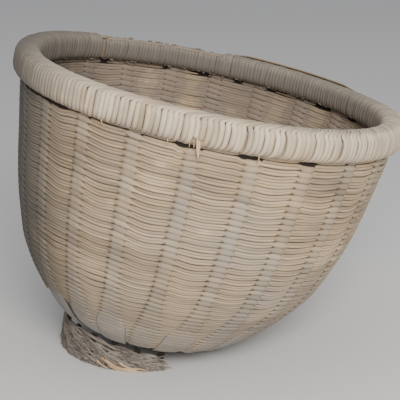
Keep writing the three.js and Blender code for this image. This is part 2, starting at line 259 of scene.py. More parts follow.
def cane(name, dark, mid, light, grey, inside, rough=0.72, groove_shade_and_grime=0.55, dirt=0.35, fibre=0.35, bump=0.25, spec=0.3, low_painted_shade=0.0, left=0.0, back=0.0, power=1.25, stain=0.0, inflat=0.55):
    """Weathered cane. tone: R strand tone, G groove darkening (painted shade in the gaps between strands, with grime),
    B greying, A inside of the basket. lay: length along, around, piece.
    """
    m, nt, bs = tree(name)
    tone = node(nt, "ShaderNodeAttribute", attribute_name="tone")
    lay = node(nt, "ShaderNodeAttribute", attribute_name="lay")
    geo = node(nt, "ShaderNodeNewGeometry")
    sep = node(nt, "ShaderNodeSeparateColor"); nt.links.new(tone.outputs["Color"], sep.inputs[0])
    R, G, B = sep.outputs[0], sep.outputs[1], sep.outputs[2]
    A = tone.outputs["Alpha"]
    pos = geo.outputs["Position"]
    big = noise(nt, pos, 9.0, 3.0, 0.6)
    medium = noise(nt, pos, 45.0, 3.0, 0.6)
    fib = noise(nt, lay.outputs["Vector"], 1.0, 4.0, 0.65, 0.2, stretch=(0.05, 3.0, 1.0))
    blot = noise(nt, lay.outputs["Vector"], 1.0, 2.0, 0.5, 0.0, stretch=(0.035, 0.25, 1.0))
    t = math_(nt, "ADD", math_(nt, "MULTIPLY", R, 0.75), math_(nt, "MULTIPLY", blot, 0.35))
    t = math_(nt, "ADD", t, math_(nt, "MULTIPLY", math_(nt, "SUBTRACT", fib, 0.5), fibre), clamp=True)
    col = ramp(nt, t, [(0.15, dark), (0.5, mid), (0.85, light)])
    if stain:
        warm = noise(nt, pos, 30.0, 3.0, 0.65)
        sf = math_(nt, "MULTIPLY", math_(nt, "SUBTRACT", warm, 0.48), 3.0 * stain, clamp=True)
        col = mixc(nt, sf, col, mixc(nt, t, (0.40, 0.24, 0.13), (0.66, 0.45, 0.27)))
    gfac = math_(nt, "ADD", math_(nt, "MULTIPLY", B, 0.75), math_(nt, "MULTIPLY", math_(nt, "SUBTRACT", big, 0.47), 1.6), clamp=True)
    gcol = mixc(nt, math_(nt, "MULTIPLY", t, 1.0), tuple(c * 0.72 for c in grey), tuple(c * 1.18 for c in grey))
    col = mixc(nt, gfac, col, gcol)
    col = mixc(nt, math_(nt, "MULTIPLY", A, 0.9), col, mixc(nt, t, tuple(c * 0.75 for c in inside), tuple(c * 1.2 for c in inside)))
    # painted shade with grime: darkens the grooves and gaps marked in G towards a near-black brown
    gr = math_(nt, "MULTIPLY", math_(nt, "POWER", G, power), groove_shade_and_grime)
    gr = math_(nt, "MULTIPLY", gr, math_(nt, "SUBTRACT", 1.0, math_(nt, "MULTIPLY", A, inflat)))
    col = mixc(nt, gr, col, tuple(c * 0.24 for c in dark), "MIX")
    dm = math_(nt, "MULTIPLY", math_(nt, "SUBTRACT", medium, 0.46), 2.2 * dirt, clamp=True)
    col = mixc(nt, dm, col, tuple(c * 0.62 for c in grey))
    # painted shade: darker and greyer towards the floor
    if low_painted_shade:
        sepz = node(nt, "ShaderNodeSeparateXYZ"); nt.links.new(pos, sepz.inputs[0])
        z = math_(nt, "MULTIPLY", math_(nt, "SUBTRACT", 0.12, sepz.outputs[2]), low_painted_shade / 0.12, clamp=True)
        col = mixc(nt, z, col, tuple(c * 0.60 for c in grey))
    # painted shade, partly standing for grime: darker on the left side and at the back of the basket, by world
    # position
    if left or back:
        sp = node(nt, "ShaderNodeSeparateXYZ"); nt.links.new(pos, sp.inputs[0])
        if left:
            f = math_(nt, "MULTIPLY", math_(nt, "SUBTRACT", -0.112, sp.outputs[0]), 1 / 0.07, clamp=True)
            col = mixc(nt, math_(nt, "MULTIPLY", f, left), col, tuple(c * 0.22 for c in grey))
        if back:
            f = math_(nt, "MULTIPLY", math_(nt, "ADD", sp.outputs[1], 0.06), 1 / 0.14, clamp=True)
            col = mixc(nt, math_(nt, "MULTIPLY", f, back), col, tuple(c * 0.26 for c in grey))
    nt.links.new(col, bs.inputs["Base Color"])
    rg = math_(nt, "ADD", math_(nt, "MULTIPLY", fib, 0.22), rough - 0.11)
    nt.links.new(rg, bs.inputs["Roughness"])
    bs.inputs["Specular IOR Level"].default_value = spec
    fine = noise(nt, lay.outputs["Vector"], 1.0, 3.0, 0.6, 0.0, stretch=(0.25, 9.0, 1.0))
    bp = node(nt, "ShaderNodeBump"); bp.inputs["Strength"].default_value = bump; bp.inputs["Distance"].default_value = 0.0004
    nt.links.new(math_(nt, "ADD", fine, math_(nt, "MULTIPLY", fib, 0.8)), bp.inputs["Height"])
    nt.links.new(bp.outputs[0], bs.inputs["Normal"])
    return m


# the left, back and floor-ward darkening set below are painted shade; the groove darkening is painted shade with grime
M_WEAVE = cane("weave_cane", (0.205, 0.15, 0.10), (0.425, 0.316, 0.192), (0.595, 0.458, 0.302), (0.345, 0.323, 0.292), (0.242, 0.193, 0.151), groove_shade_and_grime=0.97, low_painted_shade=0.42, left=0.88, power=1.0, stain=0.30, fibre=0.5, inflat=0.9)
M_RIM = cane("rim_cane", (0.31, 0.236, 0.157), (0.565, 0.452, 0.315), (0.755, 0.618, 0.448), (0.485, 0.436, 0.368), (0.24, 0.20, 0.17), rough=0.62, groove_shade_and_grime=0.60, dirt=0.55, fibre=0.55, left=0.92, back=0.66, stain=0.55)
M_SPLINT = cane("splint_bamboo", (0.21, 0.185, 0.155), (0.34, 0.305, 0.265), (0.45, 0.41, 0.36), (0.35, 0.33, 0.305), (0.21, 0.175, 0.15), rough=0.66, groove_shade_and_grime=0.9, fibre=0.5, dirt=0.6, low_painted_shade=0.1, left=0.7)
M_HOOP = cane("hoop_bamboo", (0.20, 0.14, 0.09), (0.34, 0.25, 0.17), (0.45, 0.35, 0.245), (0.30, 0.26, 0.22), (0.20, 0.16, 0.13), rough=0.55, groove_shade_and_grime=0.3, fibre=0.5, back=0.25)
# near-black material: painted shade, for pieces that sit in the gaps where shadow falls
M_PAINTED_SHADE = cane("painted_shade_bamboo", (0.018, 0.014, 0.011), (0.035, 0.028, 0.022), (0.06, 0.05, 0.04), (0.035, 0.03, 0.026), (0.02, 0.017, 0.015), rough=0.9, groove_shade_and_grime=0.1, fibre=0.5)
M_FOOT = cane("foot_cane", (0.10, 0.082, 0.067), (0.196, 0.165, 0.136), (0.34, 0.29, 0.24), (0.21, 0.189, 0.166), (0.13, 0.11, 0.095), rough=0.85, groove_shade_and_grime=0.45, dirt=0.5)
M_TORN = cane("torn_cane", (0.28, 0.16, 0.085), (0.50, 0.31, 0.175), (0.68, 0.47, 0.29), (0.35, 0.30, 0.25), (0.3, 0.2, 0.13), rough=0.7, groove_shade_and_grime=0.2, fibre=0.6)

# ---------------------------------------------------------------- twined wall
ROW_TOP, ROW_END = 16.0, 284.0
_p = []
_s = ROW_TOP
while _s < ROW_END:
    _p.append(_s)
    _s += np.interp(_s, [0, 90, 200, 300], [6.0, 6.2, 6.1, 5.9]) * (1 + rng.uniform(-0.05, 0.05))
S_ROW = np.array(_p + [_s])
NROW = len(_p)
SEAM = 92.0                                    # degrees, at the back
PER = 20                                       # samples between stakes

_sagA = rng.normal(1.35, 0.7, (STAKES, 12)); _sagB = rng.normal(0.3, 0.7, (STAKES, 12)); _bul = rng.normal(0.9, 0.35, (STAKES, 12))


def _grid(G, j, t):
    x = np.clip(t / NROW * (G.shape[1] - 1), 0, G.shape[1] - 1.001)
    i = x.astype(int); w = x - i; w = w * w * (3 - 2 * w)
    return G[j, i] * (1 - w) + G[j, i + 1] * w


def stake_width(r):
    """The splints spread into wide tongues below the belly and narrow again into the mat."""
    return np.interp(r, [60, 78, 100, 122, 140, 156], [BASE_W, 20.6, 27.5, 32.0, 20.0, STAKE_W])


def row_end(phi):
    """Where the last rows stop: higher up on the left, where the splint tongues show."""
    p = phi % 360
    return np.interp(p, [0, 60, 120, 170, 205, 224, 238, 250, 262, 330, 360], [283, 283, 276, 262, 243, 236, 254, 272, 281, 284, 283]) + 1.5 * np.sin(np.radians(p * 9)) + 1.2 * np.sin(np.radians(p * 23))


DUST = [(261.0, 44.0, 1.6, 3.0, 0.9), (260.5, 61.0, 3.2, 6.0, 0.85), (277.0, 101.0, 1.4, 3.2, 0.9), (248.5, 94, 0.9, 3.5, 0.5), (229, 160, 1.6, 3.5, 0.45), (215, 172, 2.2, 3.5, 0.4)]


# gaps left under the rim: (angle, half width in degrees, how far down the wall they reach in mm)
SLOTS = [(131.8, 0.75, 24.8), (107.5, 0.65, 24.6), (93.3, 0.65, 24.8), (81.0, 0.65, 24.6), (69.0, 0.7, 24.8), (56.4, 0.7, 24.8), (45.2, 0.7, 24.8), (32.2, 0.8, 25.0), (14.0, 1.2, 25.4),
         (266.6, 1.9, 24.2), (283.8, 2.1, 24.3), (301.4, 1.7, 24.5), (222.0, 6.0, 23.7), (210.0, 5.0, 23.5)]
ROW_P = 6.1


def slots(phi):
    """Mask of the gaps (0 to 1) and how far the rows below are pressed down."""
    m = np.zeros_like(phi); tgt = np.zeros_like(phi)
    for p0, w, k in SLOTS:
        dp = np.abs((phi - p0 + 180) % 360 - 180)
        x = 1 - smooth(dp, w * 0.75, w * 1.6)
        tgt = np.where(x > m, k, tgt); m = np.maximum(m, x)
    first = ROW_TOP + ROW_P * ((phi - SEAM) / 360 % 1.0)
    first = first + ROW_P * np.ceil(np.maximum(0, 23.8 - first) / ROW_P)
    return m, m * np.clip(tgt - (first - 3.1), 0, 4.5)


def dust(phi, s):
    d = np.zeros_like(phi)
    for p0, s0, wp, ws, k in DUST:
        dp = (phi - p0 + 180) % 360 - 180
        d = np.maximum(d, k * np.exp(-(dp / wp) ** 2 - ((s - s0) / ws) ** 2))
    return d


seg_tone = rng.uniform(0.0, 1.0, (2, NROW + 2, STAKES + 1))
seg_lift = rng.normal(0.0, 0.15, (2, NROW + 2, STAKES + 1))
row_tone = rng.normal(0, 0.08, (2, NROW + 2))
pan_tone = rng.normal(0, 0.10, (STAKES, 12))


def strands(t0, t1):
    """The pair of strands from turn t0 to turn t1."""
    tubes, attrs, lays = [], [], []
    K = 8
    psi = np.arange(K) * 2 * math.pi / K
    for which in (0, 1):
        n = int(round((t1 - t0) * STAKES * PER)) + 1
        t = np.linspace(t0, t1, n)
        phi = SEAM + 360 * t
        q = (phi - STAKE_PHI) / SPACING
        j = np.floor(q).astype(int); u = q - j; j = j % STAKES
        th = math.pi * q + (math.pi if which else 0)
        c, sn = np.cos(th), np.sin(th)
        pitch = np.interp(t, np.arange(NROW), np.diff(S_ROW))
        sc = np.interp(t, np.arange(NROW + 1), S_ROW)
        rad = np.interp(sc, _ls, _line[:, 0])
        half = math.pi * rad / STAKES
        vs = np.minimum(stake_width(rad) / 2 / half, 0.86)
        v = 2 * np.minimum(u, 1 - u)                # 0 on a stake, 1 half-way to the next
        A = _grid(_sagA, j, t); B = _grid(_sagB, j, t); bul = _grid(_bul, j, t)
        open_ = 1 - smooth(vs, 0.35, 0.85)          # fades out where the tongues fill the wall
        down = (A * np.sin(math.pi * u) ** 2 + B * np.sin(2 * math.pi * u) * 0.5) * (0.35 + 0.65 * open_)
        over = 1 - smooth(v, vs * 0.55, np.minimum(vs + 0.06, 1.0))
        row = np.clip(np.floor(t + 1e-6).astype(int), 0, NROW)
        seg = np.floor(q + 0.5).astype(int) % STAKES
        lift = pitch * 0.235 * np.sign(sn) * smooth(v, 0.0, np.minimum(vs * 1.9, 0.9))
        s = sc + down * smooth(sc, 14, 40) + lift
        gap, press = slots(phi)
        s = s + press * np.exp(-np.maximum(sc - 24, 0) / 15.0)
        s = s + np.convolve(np.pad(seg_lift[which, row, seg], 10, mode="edge"), np.ones(21) / 21, "valid")
        s = np.maximum(s, 2.0)
        bk = smooth(np.sin(np.radians(phi)), -0.15, 0.25)
        off = np.sign(c) * 1.65 * (1 - smooth(v, vs * 0.60, np.minimum(vs + 0.14, 1.0))) + bul * np.sin(math.pi * u) ** 2 * open_
        a = pitch * (0.275 * (1 - over) + 0.522 * over)
        pin = np.exp(-((v - vs * 0.98) / 0.09) ** 2)
        a = a * (1 + (0.27 + 0.07 * bk) * pin * open_) * (1 + 0.10 * bk * (1 - over))
        b = (1.45 - 0.25 * bk) * (1 - over) + 0.95 * over
        wob = 1 + 0.05 * np.interp(t * 61.0 % 89, np.arange(90), rng.normal(0, 1, 90))
        a = a * wob
        cen = wall(phi, s, off)
        N, D, T = wall_axes(phi, s)
        cp = np.sign(np.cos(psi)) * np.abs(np.cos(psi)) ** 0.85
        sp = np.sign(np.sin(psi)) * np.abs(np.sin(psi)) ** 0.9
        keep = (s < row_end(phi)) & ~((gap > 0.5) & (sc < 23.8))
        idx = np.where(keep)[0]
        if len(idx) < 6:
            continue
        runs = [r for r in np.split(idx, np.where(np.diff(idx) != 1)[0] + 1) if len(r) > 5]
        at = np.zeros((n, K, 4))
        tone = 0.36 + 0.34 * seg_tone[which, row, seg] + row_tone[which, row] + _grid(pan_tone, j, t) - 0.14 * over * open_
        tone = np.convolve(np.pad(tone, 4, mode="edge"), np.ones(9) / 9, "valid")
        d = dust(phi % 360, s)
        at[..., 0] = (tone + 0.9 * d)[:, None]
        # painted shade with dirt: darker on the side facing the next pair, and in the pin-holes beside the stakes
        side = np.sin(psi)[None] * np.sign(sn)[:, None]
        G = (1 - np.abs(np.cos(psi)))[None] * np.where(side > 0, 1.0, 0.40) * (1 - over[:, None]) + 0.40 * over[:, None] * (1 - np.abs(np.cos(psi)))[None]
        at[..., 1] = np.clip(G + 0.13 * (pin * open_)[:, None] * (np.cos(psi) > -0.1)[None] * 0.6, 0, 1)
        at[..., 2] = np.clip(over * 0.36 + 0.08 + 0.26 * (seg_tone[1 - which, row, (seg + 5) % STAKES] - 0.5) + 0.30 * smooth(sc, 215, 280) - 0.9 * d, 0, 1)[:, None]
        at[..., 3] = ((off[:, None] + b[:, None] * np.cos(psi)[None]) < -0.2) * 1.0
        lay = np.zeros((n, K, 3))
        lay[..., 0] = (t * 1000.0)[:, None]; lay[..., 1] = psi[None] * 1.3; lay[..., 2] = 11.0 * which
        for r in runs:
            f = np.ones(len(r))
            if r[0] > 0:
                f[:2] = (0.35, 0.8)
            if r[-1] < n - 1:
                f[-2:] = (0.8, 0.35)
            R = cen[r][:, None] + N[r][:, None] * ((b[r] * f)[:, None] * cp)[..., None] + D[r][:, None] * ((a[r] * f)[:, None] * sp)[..., None]
            tubes.append(R); attrs.append(at[r]); lays.append(lay[r])
    return tubes, attrs, lays


edges = np.interp(S_NODE, S_ROW, np.arange(NROW + 1))
edges[0], edges[-1] = 0, NROW
edges[-2] = min(edges[-2], NROW - 2)
for k in range(1, 9):
    a, b = int(round(edges[k - 1])), int(round(edges[k]))
    tb, at, ly = strands(a, b)
    place(loft(f"twining_{k:02d}", tb, M_WEAVE, at, ly), "twined_strands", f"weave_band_{k:02d}")

# ------------------------------------------------------- splints and the stakes
def ribbon(cen, side, nrm, w, t, crown=0.25, bev=0.45):
    """Rings of a flat split-cane section along a path. All (n,3); w, t (n,)."""
    xs = np.array([-1, -0.92, -0.5, 0.0, 0.5, 0.92, 1, 0.92, 0.0, -0.92])
    kinds = np.array([0, 1, 1.25, 1.4, 1.25, 1, 0, -1, -1, -1])
    h = np.where(kinds > 0, (t / 2)[:, None] * np.minimum(kinds, 1) + crown * np.maximum(kinds - 1, 0) * 2.5, (t / 2)[:, None] * kinds) + 0 * t[:, None]
    return cen[:, None] + side[:, None] * ((w / 2)[:, None] * xs)[..., None] + nrm[:, None] * h[..., None]


def ribbon_attr(n, tone, grey=0.6, inside=0.0, length=1.0, piece=0.0):
    k = 10
    at = np.zeros((n, k, 4)); at[..., 0] = tone; at[..., 2] = grey; at[..., 3] = inside
    # painted shade: both edges of the strip darker, where it meets its neighbours
    at[:, [0, 6], 1] = 0.8
    ly = np.zeros((n, k, 3)); ly[..., 0] = np.linspace(0, length, n)[:, None]
    ly[..., 1] = np.array([0, 0.2, 1, 2, 3, 3.8, 4, 5, 6, 7])[None]; ly[..., 2] = piece
    return at, ly


def splint(phiA, phiB, along, q, sign0):
    S = np.arange(1.0, S_END - 1, 4.0)
    def side_part(phi, flip):
        ph = np.full(len(S), phi)
        r = np.interp(S, _ls, _line[:, 0])
        k = int(round((phi - STAKE_PHI) / SPACING)) % 2
        lapped = smooth(-r, -140, -122) * (1 - smooth(-r, -84, -76))
        c = wall(ph, S, (0.75 if k else -0.75) * lapped); N, D, T = wall_axes(ph, S)
        return c, (-T if flip else T), N, stake_width(r)
    cA, sA, nA, wA = side_part(phiA, False)
    cB, sB, nB, wB = side_part(phiB, True)
    cB, sB, nB, wB = cB[::-1], sB[::-1], nB[::-1], wB[::-1]
    bx, by = sag(np.array(BASE_Z)); bc = np.array([bx, by])
    reach = 46.5 if along == "x" else 56.0
    u = np.linspace(reach, -reach, 61)
    cross = (0.5 if along == "x" else 0.0)
    lev = 1.05 * sign0 * np.cos(math.pi * (u / PITCH + cross * 0)) if along == "x" else 1.05 * sign0 * np.cos(math.pi * (u / PITCH - 0.5))
    off = q * PITCH
    if along == "x":
        c = np.stack([bc[0] + u, np.full_like(u, bc[1] + off), BASE_Z + lev], -1); sd = np.array([0, 1.0, 0])
    else:
        c = np.stack([np.full_like(u, bc[0] + off), bc[1] + u, BASE_Z + lev], -1); sd = np.array([-1.0, 0, 0])
    sd = np.tile(sd, (len(u), 1)); nn = np.tile([0, 0, -1.0], (len(u), 1)); w = np.full(len(u), BASE_W)
    C = np.vstack([cA, c, cB]); Sd = np.vstack([sA, sd, sB]); Nn = np.vstack([nA, nn, nB]); W = np.concatenate([wA, w, wB])
    # ease the corners
    for _ in range(3):
        C[1:-1] = 0.25 * C[:-2] + 0.5 * C[1:-1] + 0.25 * C[2:]
        Sd[1:-1] = 0.25 * Sd[:-2] + 0.5 * Sd[1:-1] + 0.25 * Sd[2:]
        Nn[1:-1] = 0.25 * Nn[:-2] + 0.5 * Nn[1:-1] + 0.25 * Nn[2:]
    T = np.gradient(C, axis=0); T /= np.linalg.norm(T, axis=1)[:, None]
    Nn -= T * (Nn * T).sum(1)[:, None]; Nn /= np.linalg.norm(Nn, axis=1)[:, None]
    Sd -= T * (Sd * T).sum(1)[:, None]; Sd -= Nn * (Sd * Nn).sum(1)[:, None]; Sd /= np.linalg.norm(Sd, axis=1)[:, None]
    return ribbon(C, Sd, Nn, W, np.full(len(C), STAKE_T), crown=(0.25 + 0.75 * smooth(W, 18, 28))[:, None])


for i in range(6):
    q = i - 2.5
    R = splint(STAKE_PHI + 90 + q * SPACING, STAKE_PHI - 90 - q * SPACING, "x", q, 1 if i % 2 else -1)
    at, ly = ribbon_attr(len(R), rng.uniform(0.35, 0.65), 0.7, 0, 900, 3.0 * i)
    # painted shade: the splint ends up under the rim are darkened
    at[:8, :, 1] = 1.0; at[-8:, :, 1] = 1.0
    place(loft(f"splint_across_{i + 1}", [R], M_SPLINT, [at], [ly]), "splints", f"base_splint_across_{i + 1}")
for i in range(5):
    q = i - 2
    R = splint(STAKE_PHI + 180 - q * SPACING, STAKE_PHI + q * SPACING, "y", q, -1 if i % 2 else 1)
    at, ly = ribbon_attr(len(R), rng.uniform(0.35, 0.65), 0.7, 0, 900, 40 + 3.0 * i)
    # painted shade: the splint ends up under the rim are darkened
    at[:8, :, 1] = 1.0; at[-8:, :, 1] = 1.0
    place(loft(f"splint_lengthways_{i + 1}", [R], M_SPLINT, [at], [ly]), "splints", f"base_splint_lengthways_{i + 1}")

# ------------------------------------------------------------------------- rim
def ring_tube(profile, phi0=0.0, phi1=360.0, n=220, tone=0.5, grey=0.2, inside=0.0, wob=0.0):
    P = np.array(profile, float)
    k = len(P)
    ph = np.linspace(phi0, phi1, n)
    a = np.radians(ph)[:, None]
    wz = wob * np.sin(np.radians(ph * 3.0 + 20))[:, None]
    R = np.stack([P[None, :, 0] * np.cos(a), P[None, :, 0] * np.sin(a), P[None, :, 1] + wz], -1)
    at = np.zeros((n, k, 4)); at[..., 0] = tone; at[..., 2] = grey; at[..., 3] = inside
    ly = np.zeros((n, k, 3)); ly[..., 0] = (ph * 3.3)[:, None]; ly[..., 1] = np.arange(k)[None] * 1.1; ly[..., 2] = tone * 9
    return R, at, ly


def rrect(r0, z0, r1, z1, bv=1.0, top=0.0):
    return [(r0, z0 - bv), (r0 + bv, z0), (r1 - bv, z0), (r1, z0 - bv), (r1, z1 + bv), (r1 - bv, z1), (r0 + bv, z1), (r0, z1 + bv)]


def closed_ring(name, profile, mat, slot, nodes, **kw):
    """A full ring without end caps: last ring of points joined back to the first."""
    R, at, ly = ring_tube(profile, **kw)
    R, at, ly = R[:-1], at[:-1], ly[:-1]
    n, k, _ = R.shape
    V = world(R.reshape(-1, 3))
    i = np.arange(n)[:, None]; j = np.arange(k)[None]
    a = i * k + j; b = i * k + (j + 1) % k; c = ((i + 1) % n) * k + (j + 1) % k; d = ((i + 1) % n) * k + j
    q = np.stack([a, b, c, d], -1).reshape(-1, 4)
    p = V[q]
    vol = (np.cross(p[:, 0], p[:, 1]) * p[:, 2]).sum() + (np.cross(p[:, 0], p[:, 2]) * p[:, 3]).sum()
    if vol < 0:
        q = q[:, ::-1]
    me = bpy.data.meshes.new(name); me.from_pydata(V.tolist(), [], q.tolist())
    me.polygons.foreach_set("use_smooth", np.full(len(me.polygons), True))
    t = me.attributes.new("tone", "FLOAT_COLOR", "POINT"); t.data.foreach_set("color", at.reshape(-1, 4).astype(np.float32).ravel())
    t = me.attributes.new("lay", "FLOAT_VECTOR", "POINT"); t.data.foreach_set("vector", ly.reshape(-1, 3).astype(np.float32).ravel())
    ob = bpy.data.objects.new(name, me); bpy.context.scene.collection.objects.link(ob)
    me.materials.append(mat)
    return place(ob, slot, *nodes)


closed_ring("outer_hoop", rrect(191.6, -6.6, 197.6, -26.6, 1.6), M_HOOP, "rim_hoops", ["outer_rim_hoop"], tone=0.5, grey=0.35, n=265)
closed_ring("inner_hoop", rrect(176.8, -6.6, 183.9, -26.6, 1.6), M_HOOP, "rim_hoops", ["inner_rim_hoop"], tone=0.45, grey=0.45, n=265, inside=0.3)

# not part of the basket: a near-black ring in the middle of the wall under the rim, a painted shadow that keeps the
# slots under the rim dark
closed_ring("painted_shadow_strip", rrect(188.1, -25.0, 189.1, -36.0, 0.4), M_PAINTED_SHADE, "rim_hoops", [], tone=0.1, grey=0.1, n=221)

WORN0, WORN1 = 86.5, 135.0                     # stretch of rim without wrapping on top


def section(tdeg, drop=0.0):
    """Outline of the wrapped rim: point and outward normal at angle t (0 outside, 90 top, 180 inside)."""
    t = np.radians(tdeg)
    e = 0.66
    cx, cz = np.cos(t), np.sin(t)
    r = 187.1 + 12.1 * np.sign(cx) * np.abs(cx) ** e
    z = -14.5 + 13.7 * np.sign(cz) * np.abs(cz) ** e
    z = z - drop * np.maximum(cz, 0)
    g = 1e-3
    t2 = t + g
    r2 = 187.1 + 12.1 * np.sign(np.cos(t2)) * np.abs(np.cos(t2)) ** e
    z2 = -14.5 + 13.7 * np.sign(np.sin(t2)) * np.abs(np.sin(t2)) ** e - drop * np.maximum(np.sin(t2), 0)
    dr, dz = r2 - r, z2 - z
    L = np.hypot(dr, dz) + 1e-9
    return r, z, dz / L, -dr / L


WRAP_PITCH = 4.75


def wraps(name, phi_a, phi_b, nodes, face=(1.0, 1.0), top=(1.0, 1.0), worn=False, pitch=WRAP_PITCH):
    step = math.degrees(pitch / 190.0)
    n = int(round((phi_b - phi_a) / step)); step = (phi_b - phi_a) / n
    tubes, attrs, lays = [], [], []
    K = 8
    psi = np.arange(K) * 2 * math.pi / K
    for i in range(n):
        w = (i + 0.5) / n
        phc = phi_a + (i + 0.5) * step + rng.normal(0, 0.05)
        F = (face[0] * (1 - w) + face[1] * w) * (1 + rng.normal(0, 0.10)); Tp = (top[0] * (1 - w) + top[1] * w) * (1 + rng.normal(0, 0.014))
        ragged = rng.normal(0, 1.0, 6)
        low = -112 + 7 * ragged[0]
        if 267.4 < phc < 270.6:
            low = -30 + 10 * ragged[0]
        elif 272.0 < phc < 278.5 or 299.5 < phc < 303.0 or 206 < phc < 230:
            low = -88 + 6 * ragged[0]
        parts = [(low, 298)]
        if worn:
            parts = [(low, 38 + rng.normal(0, 7)), (142 + rng.normal(0, 8), 298)]
        for (ta, tb) in parts:
            m = 34 if not worn else 18
            tt = np.linspace(ta, tb, m)
            r, z, nr, nz = section(tt, 2.7 * float(smooth(phc % 360, 2, 34) * (1 - smooth(phc % 360, 128, 160))))
            # sideways run of the strip round the section, in mm along the rim
            d = F * np.cos(np.radians(np.clip(tt, -90, 90))) ** 1.5 * 1.0
            d = d + Tp * smooth(tt, 42, 116)
            d = d - (1.6 + 1.0 * ragged[1]) * smooth(-tt, 35, 112)
            d = d + 0.35 * np.sin(np.radians(tt * 1.1 + 90 * ragged[2])) + 0.25 * np.sin(np.radians(tt * 2.9 + 90 * ragged[3]))
            ph = np.radians(phc + np.degrees(d / 190.0))
            lift = rng.uniform(-0.22, 0.12) + 0.18 * np.sin(np.radians(tt * 1.7 + 90 * ragged[4]))
            lift = lift + 0.7 * smooth(-tt, 75, 112) * abs(ragged[5])
            rr, zz = r + nr * lift, z + nz * lift
            C = np.stack([rr * np.cos(ph), rr * np.sin(ph), zz], -1)
            N = np.stack([nr * np.cos(ph), nr * np.sin(ph), nz], -1)
            P = np.gradient(C, axis=0); P /= np.linalg.norm(P, axis=1)[:, None]
            W = np.cross(P, N); W /= np.linalg.norm(W, axis=1)[:, None]
            T = np.stack([-np.sin(ph), np.cos(ph), 0 * ph], -1)
            cosb = np.abs((W * T).sum(1))
            hw = 0.60 * pitch * cosb * (1 + rng.normal(0, 0.06)) * (1 - 0.08 * smooth(-tt, -10, 75))
            hw = np.maximum(hw * (1 - 0.55 * smooth(-tt, 92, 114) * (ragged[0] > -0.3)), 0.5)
            bulb = smooth(phc % 360, 150, 172) * (1 - smooth(phc % 360, 200, 216))
            hw = hw * (1 + 0.10 * bulb)
            th = np.full(m, 1.15)
            if worn:
                fade = np.minimum(1, np.arange(m)[::-1] / 2.0) if ta < 0 else np.minimum(1, np.arange(m) / 2.0)
                th = th * (0.35 + 0.65 * fade)
            R = C[:, None] + W[:, None] * (hw[:, None] * np.cos(psi))[..., None] + N[:, None] * (th[:, None] * np.sign(np.sin(psi)) * np.abs(np.sin(psi)) ** 0.8)[..., None]
            tubes.append(R)
            at = np.zeros((m, K, 4))
            # painted shade: tone and G darker on the underside of the rim and along the edges where strips meet
            at[..., 0] = np.clip(0.58 + rng.normal(0, 0.15) + 0.12 * np.sin(np.radians(tt * 2.3 + 90 * ragged[2])) - 0.22 * smooth(-tt, 0, 70) - 0.24 * smooth(tt, 48, 85), 0.05, 1)[:, None]
            at[..., 1] = np.clip(np.abs(np.cos(psi))[None] ** 1.5 * (0.72 + 0.28 * smooth(-tt, -40, 60))[:, None] + 0.18 * smooth(-tt, 25, 80)[:, None], 0, 1)
            at[..., 2] = np.clip(rng.normal(0.12, 0.12) + 0.35 * smooth(tt, 48, 90), 0, 1)[:, None]
            at[..., 3] = smooth(tt, 120, 185)[:, None]
            at[..., 1] = at[..., 1] * (1 - 0.65 * bulb)
            attrs.append(at)
            ly = np.zeros((m, K, 3)); ly[..., 0] = np.linspace(0, 90, m)[:, None] + 13 * i; ly[..., 1] = psi[None] * 1.4; ly[..., 2] = i * 1.7
            lays.append(ly)
    ob = loft(name, tubes, M_RIM, attrs, lays)
    return place(ob, "rim_wrapping", *nodes)


wraps("wrapping_front", 270.0, 345.0, ["rim_wrap_front"], face=(4.2, 6.0), top=(25.0, 14.0))
wraps("wrapping_right", 345.0, 360.0 + WORN0, ["rim_wrap_right"], face=(5.5, 1.5), top=(14.0, 5.0), pitch=4.3)
wraps("wrapping_left", WORN1, 270.0, ["rim_wrap_left"], face=(1.0, 3.4), top=(5.0, 26.0))
wraps("wrapping_worn", WORN0, WORN1, ["rim_wrap_worn_outside", "rim_wrap_worn_inside"], face=(1.0, 1.0), top=(0.0, 0.0), worn=True, pitch=4.0)

# filler cane: under the wrapping all round, out in the open on the right-hand back
fill = []
R, at, ly = ring_tube([(182.6, -4.9), (184, -3.6), (187, -3.1), (190, -3.6), (191.4, -4.9), (190, -6.3), (184, -6.3)], WORN1 - 2 - 360 + 0, WORN0 + 1, n=240, tone=0.7, grey=0.0)
fill.append((R, at, ly))
ph = np.linspace(36, 84, 80); a = np.radians(ph)[:, None]
wv = (np.minimum(1, np.minimum(ph - 36, 84 - ph) / 5.0))[:, None]
kp = np.array([(-4.2, 0), (-3, 1.1), (0, 1.5), (3, 1.1), (4.2, 0), (3, -0.7), (-3, -0.7)])
rr = 194.4 + kp[None, :, 0] * (0.30 + 0.62 * wv); zz = -4.2 + kp[None, :, 1] * (0.3 + 0.7 * wv) - kp[None, :, 0] * 0.45 + 2.1 * wv
R = np.stack([rr * np.cos(a), rr * np.sin(a), zz], -1)
at = np.zeros((80, 7, 4)); at[..., 0] = 1.0; at[..., 1] = 0.1; at[..., 2] = 0.0
ly = np.zeros((80, 7, 3)); ly[..., 0] = (ph * 3.3)[:, None]; ly[..., 1] = np.arange(7)[None] * 1.3; ly[..., 2] = 5
fill.append((R, at, ly))
place(loft("filler_cane", [f[0] for f in fill], M_HOOP, [f[1] for f in fill], [f[2] for f in fill]), "filler_cane", "rim_filler_cane")

